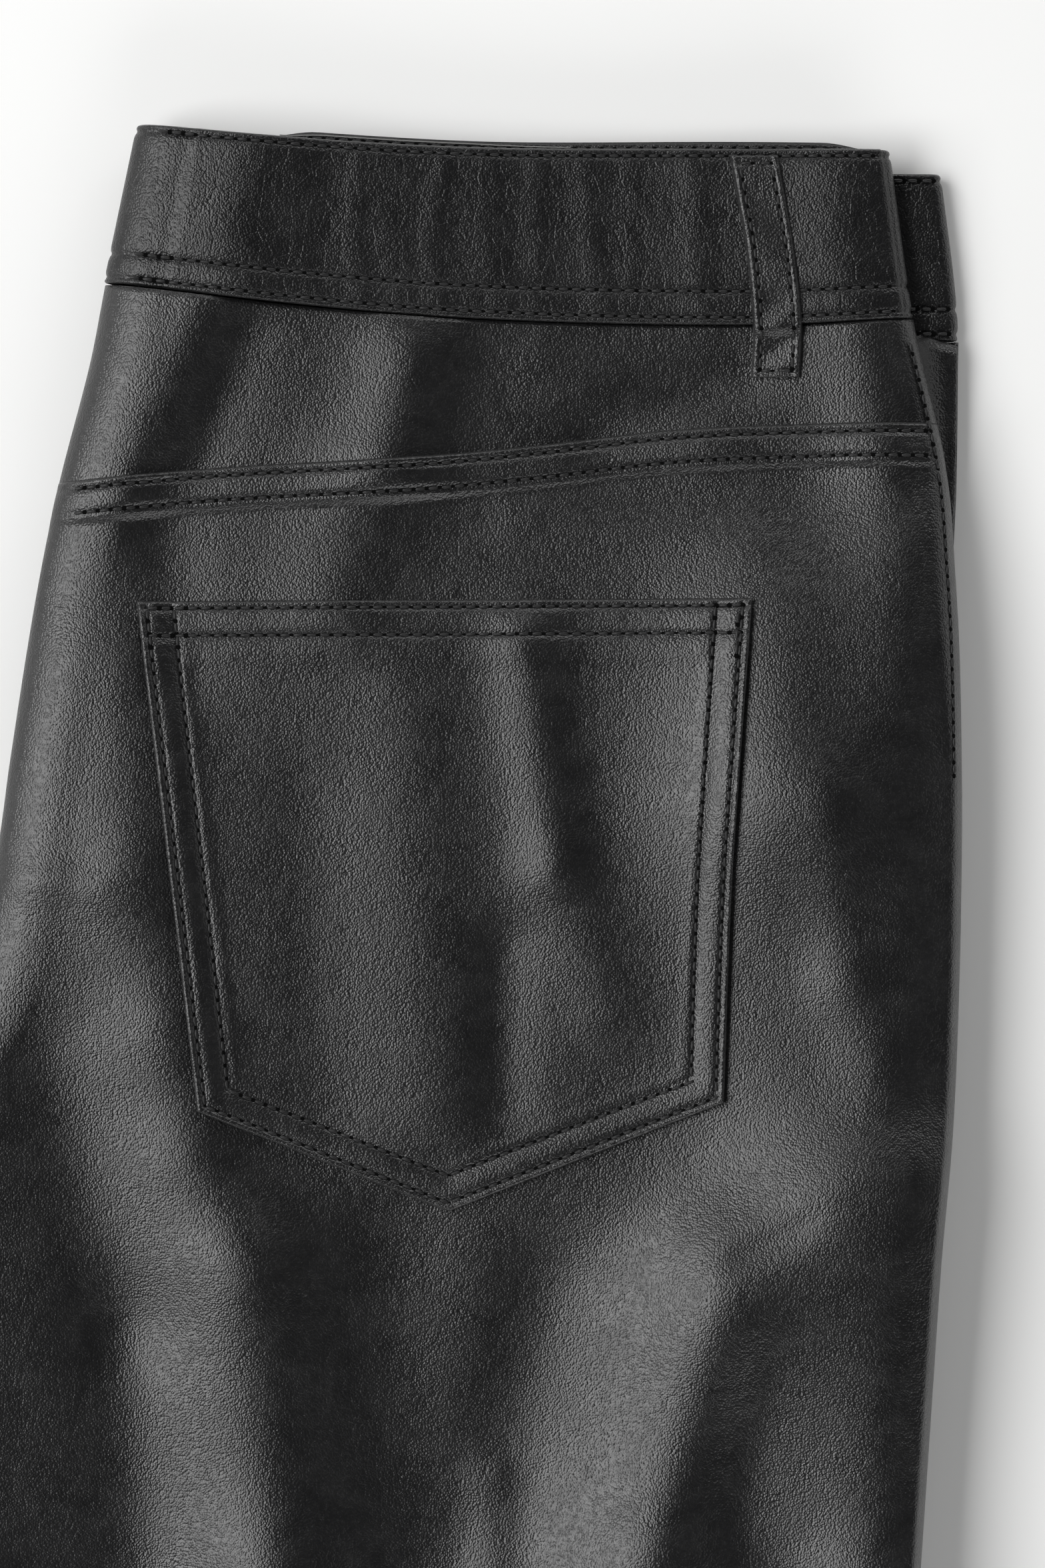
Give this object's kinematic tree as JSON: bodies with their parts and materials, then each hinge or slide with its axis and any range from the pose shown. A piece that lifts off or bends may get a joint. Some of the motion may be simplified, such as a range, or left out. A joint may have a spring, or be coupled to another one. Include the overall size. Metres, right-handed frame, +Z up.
{
  "type": "leather trousers",
  "caption": "straight-leg smooth leather trousers with waistband, back yoke and patch back pocket, folded in half along the seat seam and laid flat",
  "frame": {"origin": "middle of the folded garment's outline, on the surface it lies on", "axes": "+Y along the leg towards the waist, +X from the folded seat seam towards the side seams, +Z up"},
  "size_m": [0.291, 1.04, 0.0213],
  "materials": {
    "black_leather": "smooth semi-matt nappa",
    "black_button": "polished"
  },
  "bodies": {
    "root": {"right_yoke": "black_leather", "right_back_panel": "black_leather", "right_back_pocket": "black_leather", "right_belt_loop": "black_leather", "left_yoke": "black_leather", "left_back_panel": "black_leather", "left_back_pocket": "black_leather", "left_belt_loop": "black_leather", "waistband": "black_leather", "folded_fronts": "black_leather", "waist_button": "black_button"}
  },
  "joints": []
}
